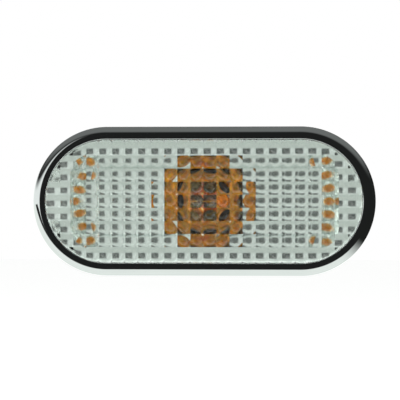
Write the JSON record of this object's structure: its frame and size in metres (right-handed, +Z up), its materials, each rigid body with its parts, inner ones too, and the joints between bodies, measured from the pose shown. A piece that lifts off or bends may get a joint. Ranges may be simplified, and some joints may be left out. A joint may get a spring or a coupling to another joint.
{
  "type": "oval side indicator lamp",
  "caption": "Oval side indicator lamp for a car wing: chromed trim ring, clear lens with pillow optics, metallised reflector, amber wedge bulb and twist-in holder.",
  "frame": {"origin": "centre of the gasket's rear face, where the lamp seats on the outer skin of the wing panel", "axes": "+X along the lamp's length towards the spring clip, -Y out of the wing through the lens, +Z up"},
  "size_m": [0.09, 0.0465, 0.0392],
  "materials": {
    "chromed_plastic": "bright chrome plate on moulded plastic",
    "clear_lens": "clear moulded plastic, polished",
    "metallised_plastic": "bright vacuum-metallised plastic",
    "black_plastic": "fine satin mould texture",
    "sealant": "matt butyl bead",
    "foam": "matt closed-cell foam",
    "spring_steel": "zinc-plated spring steel",
    "amber_glass": "amber glass, smooth",
    "tungsten": "bare drawn wire",
    "holder_plastic": "satin heat-resistant plastic",
    "seal_rubber": "matt moulded rubber",
    "contact_brass": "bright stamped strip"
  },
  "bodies": {
    "root": {"trim_ring": "chromed_plastic", "front_lens": "clear_lens", "reflector": "metallised_plastic", "lamp_housing": "black_plastic", "lens_sealant": "sealant", "panel_gasket": "foam", "spring_clip": "spring_steel", "bulb_glass": "amber_glass", "bulb_filament": "tungsten", "lead_wire_left": "tungsten", "lead_wire_right": "tungsten", "bulb_holder": "holder_plastic", "holder_seal": "seal_rubber", "contact_left": "contact_brass", "contact_right": "contact_brass"}
  },
  "joints": []
}
